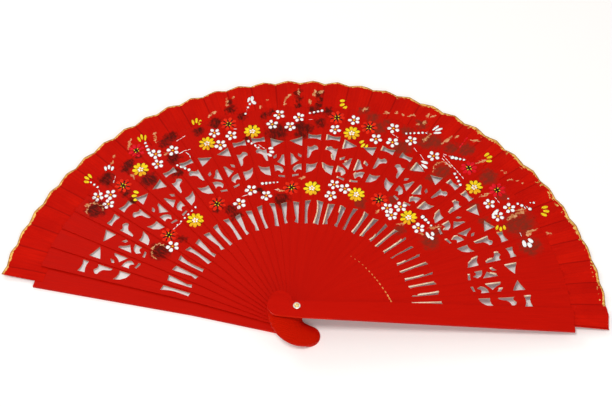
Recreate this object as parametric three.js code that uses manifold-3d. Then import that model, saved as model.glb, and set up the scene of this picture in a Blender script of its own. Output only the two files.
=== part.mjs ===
// A pleated folding fan with fretwork ribs, lying open on its rear guard.
// Millimetres. Z is up, the table is z = 0, and the rivet passes through the origin.
//
// The rivet leans a little away from the rear guard, so every stick is level while the fan is
// shut and slopes down to the table as it swings out. Flat sticks then reach the table from the
// top of a tall stack, which the thin wood of a real fan does by bending.
import * as THREE from "three";
import { mergeVertices } from "three/addons/utils/BufferGeometryUtils.js";
import Module from "manifold-3d";

const wasm = await Module();
wasm.setup();

// Driving dimensions.
const ribCount = 32;
const openAngle = 167.3; // degrees between the two guards
const rivetLean = 3.15; // degrees from upright
const gap = 0.3; // air left between neighbouring pieces

const ribLength = 220; // from the rivet to the tip
const ribThickness = 0.58;
const ribNeckHalfWidth = 4.8;
const neckEnd = 85; // the blades widen from here on
const ribTipHalfWidth = 10.4;

const guardLength = 221;
const guardThickness = 2.2;
const guardOuterHalfWidth = 9.6; // beside the rivet, on the side away from the ribs
const guardWaistHalfWidth = 8.1; // where the ribs start to widen
const guardTipHalfWidth = 10.4;

const headReach = 14.2; // from the rivet to the middle of the round head
const headBend = 30; // degrees that the head turns off the blade's line
const frontHeadBend = 0; // the front guard's head runs straight on
const headRadius = 8.9;

const pinRadius = 1.2;
const rivetHeadRadius = 3.4;
const rivetHeadThickness = 0.7;
const washerRadius = 2.9;
const washerThickness = 0.8;
const domeRadius = 1.9;
const domeHeight = 0.6;

const leafInnerRadius = 200;
const leafGuardHold = 7; // how far the cloth reaches in along the two guards
const leafOuterRadius = 250;
const leafThickness = 0.3;
const leafSideOverlap = 1.3; // degrees that the cloth runs past each guard's middle line
const pleatHeight = 1.5; // of a fold above and below the cloth's middle, at the outer edge
const pleatDip = 0.6; // how far a valley's edge draws in towards the rivet

const upperBandBottom = 141; // the fretwork near the tips
const upperBandTop = 190;
const lowerBandBottom = 92; // the slots near the neck
const lowerBandTop = 117;
const cutHalfAngle = 1.75; // degrees from the blade's middle line to a cut's side
const slotHalfAngle = 1.25; // the same for the slots near the neck
const narrowFrom = 17; // the last rib with full cuts; from here on they get narrower
const narrowTo = 25; // the first rib with the narrowest cuts
const narrowestCut = 0.85; // what is left of a cut's width there
const narrowestSlot = 0.42;

// What follows from them.
const radians = THREE.MathUtils.degToRad;
const stickCount = ribCount + 2;
const pitch = openAngle / (stickCount - 1);
const rearAzimuth = 90 + openAngle / 2;
const boreRadius = pinRadius + gap;
const leafRoom = leafThickness + 2 * gap; // between the rear guard and the first rib
const tiltSlope = Math.tan(radians(rivetLean));
const rearDirection = new THREE.Vector3(
  Math.cos(radians(rearAzimuth)),
  Math.sin(radians(rearAzimuth)),
  0
);
const rivetAxis = new THREE.Vector3(0, 0, Math.cos(radians(rivetLean)))
  .addScaledVector(rearDirection, -Math.sin(radians(rivetLean)));

// The height of stick k's lower face in the shut stack: 0 is the rear guard, the last is the front one.
function seat(k) {
  if (k === 0) return 0;
  return guardThickness + leafRoom + (k - 1) * (ribThickness + gap);
}
const stackTop = seat(stickCount - 1) + guardThickness;

const lacquer = new THREE.MeshStandardMaterial({ color: "#c41405", roughness: 0.42, metalness: 0 });
const cloth = new THREE.MeshStandardMaterial({ color: "#c81a0c", roughness: 0.7, metalness: 0 });
const brass = new THREE.MeshStandardMaterial({ color: "#c9a24a", roughness: 0.3, metalness: 1 });
const nickel = new THREE.MeshStandardMaterial({ color: "#e4dfcf", roughness: 0.3, metalness: 1 });

// A point of a cut: its height in the band from 0 to 1, and its side from -1 to 1.
function bandPoint(bottom, top, halfAngle, mirror) {
  return (height, side) => {
    const radius = bottom + (top - bottom) * height;
    const angle = radians(halfAngle * side * mirror);
    return [radius * Math.cos(angle), radius * Math.sin(angle)];
  };
}

// A closed cut through the blade. Two numbers are a corner; four are a bend and the point it leads to.
function cut(place, steps) {
  const path = new THREE.Path();
  path.moveTo(...place(...steps[0]));
  for (const step of steps.slice(1)) {
    if (step.length === 2) path.lineTo(...place(...step));
    else path.quadraticCurveTo(...place(step[0], step[1]), ...place(step[2], step[3]));
  }
  path.closePath();
  return path;
}

// What is left of a cut's width on rib k.
function narrowing(k, narrowest) {
  const share = Math.min(1, Math.max(0, (k - narrowFrom) / (narrowTo - narrowFrom)));
  return 1 - (1 - narrowest) * share;
}

function upperBand(mirror, k) {
  const halfAngle = cutHalfAngle * narrowing(k, narrowestCut);
  return bandPoint(upperBandBottom, upperBandTop, halfAngle, mirror);
}

function lowerBand(mirror, k) {
  const halfAngle = slotHalfAngle * narrowing(k, narrowestSlot);
  return bandPoint(lowerBandBottom, lowerBandTop, halfAngle, mirror);
}

// Motif with a flared bar, a hooked opening and a quarter crescent above a waved slot.
function hookedCuts(mirror, k) {
  const upper = upperBand(mirror, k);
  const lower = lowerBand(mirror, k);
  const bar = cut(upper, [
    [0.87, 1],
    [0.98, 1],
    [0.93, 0.1, 0.99, -0.95],
    [0.86, -0.95],
    [0.91, 0.1, 0.87, 1],
  ]);
  const hook = cut(upper, [
    [0.43, 0.95],
    [0.7, 1],
    [0.65, 0.45, 0.73, -0.05],
    [0.73, -0.5, 0.68, -0.75],
    [0.64, -0.7],
    [0.63, -0.1, 0.57, 0.3],
    [0.5, 0.35, 0.44, 0.65],
  ]);
  const crescent = cut(upper, [
    [0.1, 1],
    [0.3, 1],
    [0.27, 0, 0.35, -0.95],
    [0.14, -0.8, 0.1, 1],
  ]);
  const slot = cut(lower, [
    [0, 1],
    [0.96, 1],
    [1, -0.9],
    [0.77, -0.1, 0.5, -0.1],
    [0.3, -0.2, 0.03, -0.6],
  ]);
  return [bar, hook, crescent, slot];
}

// Motif with a triangle, a pointed hook and its comma, a curl and a sliver above a tapering slot.
function curledCuts(mirror, k) {
  const upper = upperBand(mirror, k);
  const lower = lowerBand(mirror, k);
  const triangle = cut(upper, [
    [0.71, 1],
    [0.92, 1],
    [0.86, 0, 0.83, -1],
    [0.77, -0.2, 0.71, 1],
  ]);
  const pointedHook = cut(upper, [
    [0.54, -0.88],
    [0.52, -0.5],
    [0.43, -0.2, 0.38, 0.45],
    [0.33, -0.2, 0.28, -0.88],
  ]);
  const comma = cut(upper, [[0.55, 0.35], [0.5, 1], [0.45, 0.9], [0.48, 0.4]]);
  const curl = cut(upper, [
    [0.17, 1],
    [0.31, 1],
    [0.3, -0.4, 0.19, -0.65],
    [0.12, -0.15],
    [0.23, 0.2, 0.17, 1],
  ]);
  const sliver = cut(upper, [[0.085, 0.5], [0.065, -0.75], [0.02, -0.75], [0.05, 0.5]]);
  const slot = cut(lower, [
    [0.04, 0.8],
    [0.9, 1],
    [0.95, -1],
    [0.42, -0.5, 0.25, -0.1],
    [0.08, -0.7],
  ]);
  return [triangle, pointedHook, comma, curl, sliver, slot];
}

// The outline of a stick: x runs from the rivet to the tip, y to the stick's left.
// The half-widths beside the rivet are given for the left and the right edge.
function stickShape(length, leftNeck, rightNeck, waistHalfWidth, tipHalfWidth, headTurn = headBend) {
  const bend = radians(180 - headTurn);
  const headX = headReach * Math.cos(bend);
  const headY = headReach * Math.sin(bend);
  const headFrom = radians(-100);
  const headTo = radians(20);
  const shape = new THREE.Shape();
  shape.moveTo(length, -tipHalfWidth);
  shape.lineTo(length, tipHalfWidth);
  shape.lineTo(neckEnd, waistHalfWidth);
  shape.lineTo(headRadius / 2, leftNeck);
  shape.quadraticCurveTo(
    headX + headRadius,
    leftNeck,
    headX + headRadius * Math.cos(headTo),
    headY + headRadius * Math.sin(headTo)
  );
  shape.absarc(headX, headY, headRadius, headTo, headFrom + 2 * Math.PI, false);
  shape.lineTo(0, -rightNeck);
  shape.lineTo(neckEnd, -waistHalfWidth);
  return shape;
}

// Turns the shape's curves into points, with more of them round the head and the bore.
function outlinePoints(shape, roundSteps) {
  const points = [];
  for (const curve of shape.curves) {
    const steps = curve.isEllipseCurve ? roundSteps : curve.isLineCurve ? 1 : 4;
    points.push(...curve.getPoints(steps).slice(0, -1));
  }
  return points;
}

function cutPoints(path) {
  const points = [];
  for (const curve of path.curves) {
    const steps = curve.isLineCurve ? 1 : 3;
    for (const point of curve.getPoints(steps).slice(0, -1)) points.push(point);
  }
  return points;
}

function circlePoints(radius, count) {
  return new THREE.Path().absarc(0, 0, radius, 0, 2 * Math.PI, true).getPoints(count).slice(0, -1);
}

// Extrudes a stick upwards along the rivet, so its bore fits the leaning pin.
function stickGeometry(shape, cuts, thickness, roundSteps) {
  const plate = new THREE.Shape(outlinePoints(shape, roundSteps));
  plate.holes = [circlePoints(boreRadius, roundSteps), ...cuts.map(cutPoints)]
    .map((points) => new THREE.Path(points));
  const geometry = new THREE.ExtrudeGeometry(plate, { depth: thickness, bevelEnabled: false });
  return geometry.applyMatrix4(new THREE.Matrix4().makeShear(0, 0, 0, 0, -tiltSlope, 0));
}

function toSolid(geometry) {
  const bare = geometry.clone();
  bare.deleteAttribute("normal");
  bare.deleteAttribute("uv");
  const merged = mergeVertices(bare, 1e-4);
  return new wasm.Manifold(
    new wasm.Mesh({
      numProp: 3,
      vertProperties: merged.attributes.position.array,
      triVerts: new Uint32Array(merged.index.array),
    })
  );
}

function fromSolid(solid) {
  const { vertProperties, triVerts } = solid.getMesh();
  const geometry = new THREE.BufferGeometry();
  geometry.setAttribute("position", new THREE.BufferAttribute(vertProperties, 3));
  geometry.setIndex(new THREE.BufferAttribute(triVerts, 1));
  geometry.computeVertexNormals();
  return geometry;
}

// A solid of revolution about the rivet. The profile is pairs of radius and height along the rivet.
function turned(profile, segments) {
  const points = profile.map(([radius, height]) => new THREE.Vector2(radius, height));
  const geometry = new THREE.LatheGeometry(points, segments).rotateX(Math.PI / 2);
  return geometry;
}

const fan = new THREE.Group();
fan.name = "fan";

// Puts stick k on the rivet, turned from the rear guard's direction to its own place in the open fan.
function addStick(name, k, geometry, material) {
  const swing = new THREE.Group();
  swing.setRotationFromAxisAngle(rivetAxis, -radians(k * pitch));
  const mesh = new THREE.Mesh(geometry, material);
  mesh.name = name;
  mesh.position.copy(rivetAxis).multiplyScalar(seat(k) / rivetAxis.z);
  mesh.rotation.z = radians(rearAzimuth);
  swing.add(mesh);
  fan.add(swing);
}

// Rear guard, with a recess below for the rivet's flush head.
const rearShape = stickShape(
  guardLength, guardOuterHalfWidth, ribNeckHalfWidth, guardWaistHalfWidth, guardTipHalfWidth
);
const recess = new THREE.CylinderGeometry(
  rivetHeadRadius + gap, rivetHeadRadius + gap, 2 * (rivetHeadThickness + gap), 32
).rotateX(Math.PI / 2);
const rearSolid = toSolid(stickGeometry(rearShape, [], guardThickness, 24)).subtract(toSolid(recess));
addStick("rear_guard", 0, fromSolid(rearSolid), lacquer);

// The ribs repeat a group of four motifs, each one drawn and then mirrored.
const motifs = [[hookedCuts, -1], [curledCuts, 1], [curledCuts, -1], [hookedCuts, 1]];
const ribShape = stickShape(
  ribLength, ribNeckHalfWidth, ribNeckHalfWidth, ribNeckHalfWidth, ribTipHalfWidth
);
for (let k = 1; k <= ribCount; k += 1) {
  const [motif, mirror] = motifs[(k - 1) % motifs.length];
  const cuts = motif(mirror, k);
  const name = "rib_" + String(k).padStart(2, "0");
  addStick(name, k, stickGeometry(ribShape, cuts, ribThickness, 12), lacquer);
}

const frontShape = stickShape(
  guardLength,
  ribNeckHalfWidth,
  guardOuterHalfWidth,
  guardWaistHalfWidth,
  guardTipHalfWidth,
  frontHeadBend
);
addStick("front_guard", stickCount - 1, stickGeometry(frontShape, [], guardThickness, 24), lacquer);

// The height of stick k's lower face above a place on the table.
function underside(k, x, y) {
  const foot = rivetAxis.clone().multiplyScalar(seat(k) / rivetAxis.z);
  const normal = new THREE.Vector3(0, 0, 1).applyAxisAngle(rivetAxis, -radians(k * pitch));
  foot.applyAxisAngle(rivetAxis, -radians(k * pitch));
  return foot.z - (normal.x * (x - foot.x) + normal.y * (y - foot.y)) / normal.z;
}

// The middle of the cloth where stick k holds it: on top of the rear guard, below all the others.
function heldHeight(k, x, y) {
  if (k === 0) return guardThickness + gap + leafThickness / 2;
  return underside(k, x, y) - gap - leafThickness / 2;
}

// The cloth's folds run along these lines: each stick's middle, its right edge, and just past that edge.
function foldLines() {
  const edge = THREE.MathUtils.radToDeg(Math.atan2(ribTipHalfWidth, ribLength)) + 0.15;
  const step = 0.45;
  const lines = [];
  for (let k = 0; k < stickCount; k += 1) {
    const middle = rearAzimuth - k * pitch;
    const onGuard = k === 0 || k === stickCount - 1;
    const inner = onGuard ? guardLength - leafGuardHold : leafInnerRadius;
    if (k === 0) lines.push({ azimuth: middle + leafSideOverlap, sticks: [0, 0], inner, fold: 0 });
    lines.push({ azimuth: middle, sticks: [k, k], inner, fold: 1 });
    if (k === stickCount - 1) {
      lines.push({ azimuth: middle - leafSideOverlap, sticks: [k, k], inner, fold: 0 });
    } else {
      lines.push({ azimuth: middle - edge, sticks: [k, k + 1], held: 0, fold: -1 });
      lines.push({ azimuth: middle - edge - step, sticks: [k, k + 1], held: 1, fold: -1 });
    }
  }
  return lines;
}

// The cloth is one pleated skin: flat where the sticks hold it, folded deeper towards its outer edge.
function leafGeometry() {
  const lines = foldLines();
  const rows = [
    { radius: null, depth: 0 },
    { radius: guardLength + 0.5, depth: 0 },
    { radius: (guardLength + leafOuterRadius) / 2, depth: 0.55 },
    { radius: leafOuterRadius, depth: 1 },
  ];
  const positions = [];
  for (const side of [0.5, -0.5]) {
    for (const { azimuth, sticks, held = 0, inner = leafInnerRadius, fold } of lines) {
      for (const { radius, depth } of rows) {
        const reach = (radius ?? inner) - (fold < 0 ? pleatDip * depth : 0);
        const x = reach * Math.cos(radians(azimuth));
        const y = reach * Math.sin(radians(azimuth));
        const ends = sticks.map((k) => heldHeight(k, x, y));
        const flat = ends[held];
        const mean = (ends[0] + ends[1]) / 2;
        const middle = flat + (mean - flat) * Math.min(1, depth * 2) + fold * pleatHeight * depth;
        positions.push(x, y, middle + side * leafThickness);
      }
    }
  }
  const across = rows.length;
  const layer = lines.length * across;
  const index = [];
  const quad = (a, b, c, d) => index.push(a, b, c, a, c, d);
  for (let i = 0; i < lines.length - 1; i += 1) {
    for (let j = 0; j < across - 1; j += 1) {
      const at = i * across + j;
      quad(at, at + across, at + across + 1, at + 1);
      quad(layer + at, layer + at + 1, layer + at + across + 1, layer + at + across);
    }
    const inner = i * across;
    const outer = inner + across - 1;
    quad(inner, layer + inner, layer + inner + across, inner + across);
    quad(outer, outer + across, layer + outer + across, layer + outer);
  }
  const last = (lines.length - 1) * across;
  for (let j = 0; j < across - 1; j += 1) {
    quad(j, j + 1, layer + j + 1, layer + j);
    quad(last + j, layer + last + j, layer + last + j + 1, last + j + 1);
  }
  const geometry = new THREE.BufferGeometry();
  geometry.setAttribute("position", new THREE.Float32BufferAttribute(positions, 3));
  geometry.setIndex(index);
  return geometry;
}
const leaf = new THREE.Mesh(leafGeometry(), cloth);
leaf.name = "leaf";
fan.add(leaf);

// The rivet: a flush head under the rear guard, a leaning pin, and a dome over the front washer.
const upright = new THREE.Quaternion().setFromUnitVectors(new THREE.Vector3(0, 0, 1), rivetAxis);
const washerSeat = stackTop / rivetAxis.z + gap;
const domeSeat = washerSeat + washerThickness + gap / 3;
const pinProfile = [
  [0, rivetHeadThickness / 2],
  [pinRadius, rivetHeadThickness / 2],
  [pinRadius, domeSeat],
  [domeRadius, domeSeat],
  [domeRadius * 0.8, domeSeat + domeHeight * 0.7],
  [domeRadius * 0.4, domeSeat + domeHeight],
  [0, domeSeat + domeHeight],
];
const head = new THREE.CylinderGeometry(
  rivetHeadRadius, rivetHeadRadius, rivetHeadThickness, 32
).rotateX(Math.PI / 2).translate(0, 0, rivetHeadThickness / 2);
const pinSolid = toSolid(turned(pinProfile, 24).applyQuaternion(upright)).add(toSolid(head));
const pin = new THREE.Mesh(fromSolid(pinSolid), brass);
pin.name = "rivet_pin";
fan.add(pin);

const washer = new THREE.Mesh(
  turned(
    [
      [pinRadius + gap / 3, 0],
      [washerRadius, 0],
      [washerRadius, washerThickness * 0.5],
      [washerRadius * 0.85, washerThickness],
      [pinRadius + gap / 3, washerThickness],
      [pinRadius + gap / 3, 0],
    ],
    24
  ),
  nickel
);
washer.name = "front_washer";
washer.quaternion.copy(upright);
washer.position.copy(rivetAxis).multiplyScalar(washerSeat);
fan.add(washer);

export default fan;
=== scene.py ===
"""A pleated folding fan with fretwork ribs and hand-dabbed flowers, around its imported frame.

Lengths are millimetres until they become a mesh. Where a flower or a brush mark sits was read
off the photograph, so those places are pixels from its top left corner.
"""
import math
import random

import bmesh
import bpy
from mathutils import Matrix, Vector, noise


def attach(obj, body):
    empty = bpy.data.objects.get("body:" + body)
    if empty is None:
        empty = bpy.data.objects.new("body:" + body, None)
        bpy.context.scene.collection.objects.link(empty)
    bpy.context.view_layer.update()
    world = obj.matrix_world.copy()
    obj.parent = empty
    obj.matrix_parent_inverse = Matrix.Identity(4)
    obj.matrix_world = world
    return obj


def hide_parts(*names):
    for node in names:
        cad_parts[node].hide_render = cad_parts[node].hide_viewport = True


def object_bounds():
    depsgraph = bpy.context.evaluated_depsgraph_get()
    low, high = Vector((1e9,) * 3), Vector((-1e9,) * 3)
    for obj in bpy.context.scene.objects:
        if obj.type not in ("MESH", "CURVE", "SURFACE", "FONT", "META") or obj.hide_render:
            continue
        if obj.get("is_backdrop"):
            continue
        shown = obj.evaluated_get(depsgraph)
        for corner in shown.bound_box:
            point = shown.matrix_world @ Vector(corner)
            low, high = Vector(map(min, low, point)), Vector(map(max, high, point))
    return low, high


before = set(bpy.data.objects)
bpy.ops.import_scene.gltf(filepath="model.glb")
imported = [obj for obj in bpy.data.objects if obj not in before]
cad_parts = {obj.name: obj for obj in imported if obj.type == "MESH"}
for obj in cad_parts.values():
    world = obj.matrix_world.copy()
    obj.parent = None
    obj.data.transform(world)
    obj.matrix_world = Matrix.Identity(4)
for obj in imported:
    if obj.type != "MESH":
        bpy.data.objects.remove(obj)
cad_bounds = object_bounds()

MM = 0.001

# The fan's own values, as in part.mjs, in millimetres and degrees.
STICKS = 34  # two guards with 32 ribs between them
OPEN_ANGLE = 167.3
PITCH = OPEN_ANGLE / (STICKS - 1)
REAR_AZIMUTH = 90 + OPEN_ANGLE / 2
LEAN = math.radians(3.15)
GAP = 0.3
RIB_THICKNESS = 0.58
GUARD_THICKNESS = 2.2
LEAF_ROOM = 0.9
NECK_END = 85
RIB_LENGTH = 220
GUARD_LENGTH = 221
TIP_HALF_WIDTH = 10.4
NECK_HALF_WIDTH = 4.8
GUARD_WAIST_HALF_WIDTH = 8.1
LEAF_RADIUS = 250
# The pleat at each stick, in degrees to the right of the stick's middle line.
SEAM_AT = 2.95  # where one pleat meets the next
RIDGE_AT, CREASE_AT = -1.5, 0.9
BANDS = [(92, 117), (141, 190)]  # the two rows of openings, from the rivet
CUT_HALF_ANGLE = 1.75

REAR = Vector((math.cos(math.radians(REAR_AZIMUTH)), math.sin(math.radians(REAR_AZIMUTH)), 0))
REAR_LEFT = Vector((-REAR.y, REAR.x, 0))
AXIS = Vector((0, 0, math.cos(LEAN))) - REAR * math.sin(LEAN)


def seat(k):
    """Height of stick k's lower face in the shut stack."""
    return GUARD_THICKNESS + LEAF_ROOM + (k - 1) * (RIB_THICKNESS + GAP) if k else 0


def is_guard(k):
    return k in (0, STICKS - 1)


def thickness(k):
    return GUARD_THICKNESS if is_guard(k) else RIB_THICKNESS


def stick_length(k):
    return GUARD_LENGTH if is_guard(k) else RIB_LENGTH


def swing(k):
    """The turn about the rivet that takes the rear guard to stick k."""
    return Matrix.Rotation(-math.radians(k * PITCH), 3, AXIS)


def on_stick(k, x, y, up=0.0):
    """A point of stick k: x from the rivet to its tip, y to its left, up above its lower face."""
    return swing(k) @ (AXIS * ((seat(k) + up) / AXIS.z) + REAR * x + REAR_LEFT * y)


def stick_normal(k):
    return swing(k) @ Vector((0, 0, 1))


def azimuth(k):
    return REAR_AZIMUTH - k * PITCH


def body_name(k):
    if k == 0:
        return "base"
    return "front_guard" if k == STICKS - 1 else f"rib_{k:02d}"


def stick_node(k):
    return "rear_guard" if k == 0 else body_name(k)


# ---------------- camera
PHOTO_WIDTH, PHOTO_HEIGHT = 612, 407
PHOTO_TURN = Matrix.Rotation(math.radians(10.28), 3, "Z")
PHOTO_SHIFT = Vector((0.588, -2.726, 7.954))
CAMERA_AIM = Vector((13.57, 117.15, 0))
CAMERA_DISTANCE = 1321
CAMERA_ELEVATION = math.radians(55.27)
CAMERA_ROLL = math.radians(-3.63)
LENS, SENSOR = 92.3, 36


def from_photo(point):
    return PHOTO_TURN @ (point + PHOTO_SHIFT)


def to_photo(point):
    return PHOTO_TURN.transposed() @ point - PHOTO_SHIFT


BACK = Vector((0, -math.cos(CAMERA_ELEVATION), math.sin(CAMERA_ELEVATION)))
RIGHT = Vector((1, 0, 0))
UP = BACK.cross(RIGHT)
ACROSS = RIGHT * math.cos(CAMERA_ROLL) + UP * math.sin(CAMERA_ROLL)
ABOVE = UP * math.cos(CAMERA_ROLL) - RIGHT * math.sin(CAMERA_ROLL)
PHOTO_EYE = CAMERA_AIM + BACK * CAMERA_DISTANCE
EYE = from_photo(PHOTO_EYE)


def add_object(name, data):
    made = bpy.data.objects.new(name, data)
    bpy.context.collection.objects.link(made)
    return made


def make_camera():
    turn = PHOTO_TURN @ Matrix((ACROSS, ABOVE, BACK)).transposed()
    data = bpy.data.cameras.new("camera")
    data.lens, data.sensor_width = LENS, SENSOR
    camera = add_object("camera", data)
    camera.matrix_world = Matrix.Translation(EYE * MM) @ turn.to_4x4()
    bpy.context.scene.camera = camera


make_camera()


def in_photo(x, y):
    """The place on the rim's plane that appears at a pixel of the photograph."""
    focal = LENS / SENSOR * PHOTO_WIDTH
    ray = ACROSS * ((x - PHOTO_WIDTH / 2) / focal) + ABOVE * ((PHOTO_HEIGHT / 2 - y) / focal) - BACK
    return (PHOTO_EYE - ray * (PHOTO_EYE.z / ray.z)).to_2d()


# ---------------- materials
class Graph:
    """Short calls for building the nodes of a material, or of a world."""

    def __init__(self, name, kind="materials"):
        self.owner = getattr(bpy.data, kind).new(name)
        self.owner.use_nodes = True
        self.tree = self.owner.node_tree
        self.tree.nodes.clear()

    def put(self, socket, value):
        if isinstance(value, bpy.types.NodeSocket):
            self.tree.links.new(value, socket)
        elif value is not None:
            socket.default_value = (*value, 1) if socket.type == "RGBA" else value

    def node(self, kind, values=(), **settings):
        made = self.tree.nodes.new("ShaderNode" + kind)
        for key, value in settings.items():
            setattr(made, key, value)
        pairs = values.items() if isinstance(values, dict) else enumerate(values)
        for key, value in pairs:
            self.put(made.inputs[key], value)
        return made

    def math(self, operation, *values, clamp=False):
        return self.node("Math", values, operation=operation, use_clamp=clamp).outputs[0]

    def fold(self, operation, values):
        """One number from many, such as their sum or the largest of them."""
        total, *others = values
        for value in others:
            total = self.math(operation, total, value)
        return total

    def product(self, *values):
        return self.fold("MULTIPLY", values)

    def between(self, value, low, high):
        """1 where value lies between low and high, and otherwise 0."""
        above = self.math("GREATER_THAN", value, low)
        return self.product(above, self.math("LESS_THAN", value, high))

    def vector(self, operation, *values):
        made = self.node("VectorMath", values, operation=operation)
        scalar = operation in ("DOT_PRODUCT", "LENGTH", "DISTANCE")
        return made.outputs["Value" if scalar else "Vector"]

    def scale(self, vector, factor):
        return self.vector("SCALE", vector, None, None, factor)

    def join(self, x, y, z=0.0):
        return self.node("CombineXYZ", (x, y, z)).outputs[0]

    def part(self, vector, index):
        return self.node("SeparateXYZ", [vector]).outputs[index]

    def noise(self, where, scale, detail=2.0, rough=0.5):
        values = {"Vector": where, "Scale": scale, "Detail": detail, "Roughness": rough}
        return self.node("TexNoise", values).outputs["Fac"]

    def fade(self, value, low, high, first=0.0, last=1.0):
        """Goes smoothly from first to last as value goes from low to high."""
        values = (value, low, high, first, last)
        return self.node("MapRange", values, interpolation_type="SMOOTHSTEP").outputs[0]

    def mix(self, factor, a, b):
        made = self.node("Mix", data_type="RGBA")
        for slot, value in ((0, factor), (6, a), (7, b)):
            self.put(made.inputs[slot], value)
        return made.outputs[2]

    def bump(self, height, strength, distance, before=None):
        values = {"Strength": strength, "Distance": distance, "Height": height, "Normal": before}
        return self.node("Bump", values).outputs[0]

    def place(self):
        return self.node("TexCoord").outputs["Object"]

    def finish(self, **inputs):
        names = {"Base_Color": "Base Color", "Specular": "Specular IOR Level"}
        shader = self.node("BsdfPrincipled")
        for key, value in inputs.items():
            self.put(shader.inputs[names.get(key, key)], value)
        self.node("OutputMaterial", [shader.outputs[0]])
        return self.owner


def fan_places(graph):
    """Where a point is on the open fan: mm from the rivet, degrees from the rear guard's middle."""
    where = graph.place()
    ahead = (REAR - AXIS * REAR.dot(AXIS)).normalized()
    aside = ahead.cross(AXIS)
    x = graph.vector("DOT_PRODUCT", where, tuple(ahead))
    y = graph.vector("DOT_PRODUCT", where, tuple(aside))
    reach = graph.product(graph.vector("LENGTH", graph.join(x, y)), 1 / MM / math.cos(LEAN))
    turned = graph.product(graph.math("ARCTAN2", y, x), 180 / math.pi)
    return reach, turned


def outward(graph, places, per_degree, per_mm):
    """Where to take a noise whose streaks run out from the rivet."""
    reach, turned = places
    return graph.join(graph.product(turned, per_degree), graph.product(reach, per_mm))


# Soft dark patches that the painter's darker brush left round the flowers: x, y, size in mm.
SMUDGES = [
    (129, 164, 5), (126, 170, 5), (171, 137, 6), (165, 143, 5), (174, 158, 6), (177, 172, 5),
    (149, 180, 8), (126, 192, 5), (133, 200, 4), (107, 179, 7), (96, 209, 9), (139, 156, 3),
    (198, 131, 5), (242, 117, 4), (216, 123, 6), (231, 109, 5), (271, 112, 4), (277, 132, 10),
    (300, 126, 6), (306, 129, 7), (301, 134, 6), (248, 139, 3), (264, 116, 4), (315, 110, 5),
    (298, 93, 4), (319, 93, 4), (328, 112, 5), (373, 118, 6), (378, 128, 6), (365, 111, 5),
    (386, 122, 4), (407, 131, 5), (422, 125, 5), (401, 148, 8), (427, 142, 8), (434, 142, 8),
    (415, 168, 5), (466, 150, 7), (442, 171, 8), (431, 178, 4), (488, 177, 8), (502, 196, 5),
    (519, 223, 13), (531, 246, 9), (475, 207, 5), (484, 222, 5), (430, 241, 8), (451, 148, 6),
    (229.5, 102, 3), (298, 99, 3.5), (298.5, 105, 3), (320, 99, 3.5), (319, 105, 3),
    (321, 122, 5), (160, 251, 9), (182, 239, 4), (231, 209, 5), (236, 215, 5), (260, 190, 4),
    (282, 200, 7), (218, 208, 4), (360, 203, 5), (393, 200, 4), (400, 230, 5), (437, 231, 5),
]
SMUDGE_FADES = (0.5, 1.35)  # times its size: how far out a patch fades away
SMUDGE_DEPTH = 0.92
SMUDGE_COLOUR = (0.05, 0.0045, 0.002)
DRIER_COLOUR = (0.21, 0.021, 0.009)  # of the same brush on the right half of the fan

SECTOR = 6  # sticks that share one material, which holds only their own marks
SECTOR_BEFORE, SECTOR_AFTER = 3, 2  # sticks beyond a sector whose marks may still reach it
DRY_FROM = 3  # the first sector of the right half


def stick_at(place):
    """Roughly which stick lies under a place on the rim's plane."""
    degrees = math.degrees(math.atan2(place.y, place.x) + PHOTO_TURN.to_euler().z)
    return (REAR_AZIMUTH - degrees) / PITCH


def in_sector(place, sector):
    first = sector * SECTOR
    return first - SECTOR_BEFORE < stick_at(place) < first + SECTOR + SECTOR_AFTER


def painted_place(graph):
    """Where a point appears on the rim's plane, in mm, seen from where the photograph was taken."""
    values = {
        "Vector": graph.scale(graph.place(), 1 / MM),
        "Axis": (0, 0, 1),
        "Angle": -PHOTO_TURN.to_euler().z,
    }
    where = graph.node("VectorRotate", values).outputs[0]
    where = graph.vector("SUBTRACT", where, tuple(PHOTO_SHIFT))
    way = graph.vector("SUBTRACT", where, tuple(PHOTO_EYE))
    share = graph.math("DIVIDE", -PHOTO_EYE.z, graph.part(way, 2))
    return graph.vector("ADD", graph.scale(way, share), tuple(PHOTO_EYE))


def bent(graph, scale, most):
    """The painted place, shifted unevenly by up to about a quarter of most, in mm."""
    flat = painted_place(graph)
    bend = graph.node("TexNoise", {"Vector": flat, "Scale": scale, "Detail": 3}).outputs["Color"]
    bend = graph.scale(graph.vector("SUBTRACT", bend, (0.5, 0.5, 0.5)), most)
    return graph.vector("MULTIPLY", graph.vector("ADD", flat, bend), (1, 1, 0))


def smudge_mask(graph, places, sector):
    """How much of the dark brush lies on a point, from 0 to 1: streaky patches."""
    flat = bent(graph, 0.24, 12)
    spots = []
    for x, y, size in SMUDGES:
        middle = in_photo(x, y)
        if in_sector(middle, sector):
            away = graph.vector("DISTANCE", flat, (*middle, 0))
            spots.append(graph.fade(away, *(size * share for share in SMUDGE_FADES), 1, 0))
    streaks = graph.noise(outward(graph, places, 1.5, 0.16), 1, 4, 0.7)
    return graph.product(graph.fold("MAXIMUM", spots), graph.fade(streaks, 0.34, 0.56, 0.42, 1))


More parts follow.
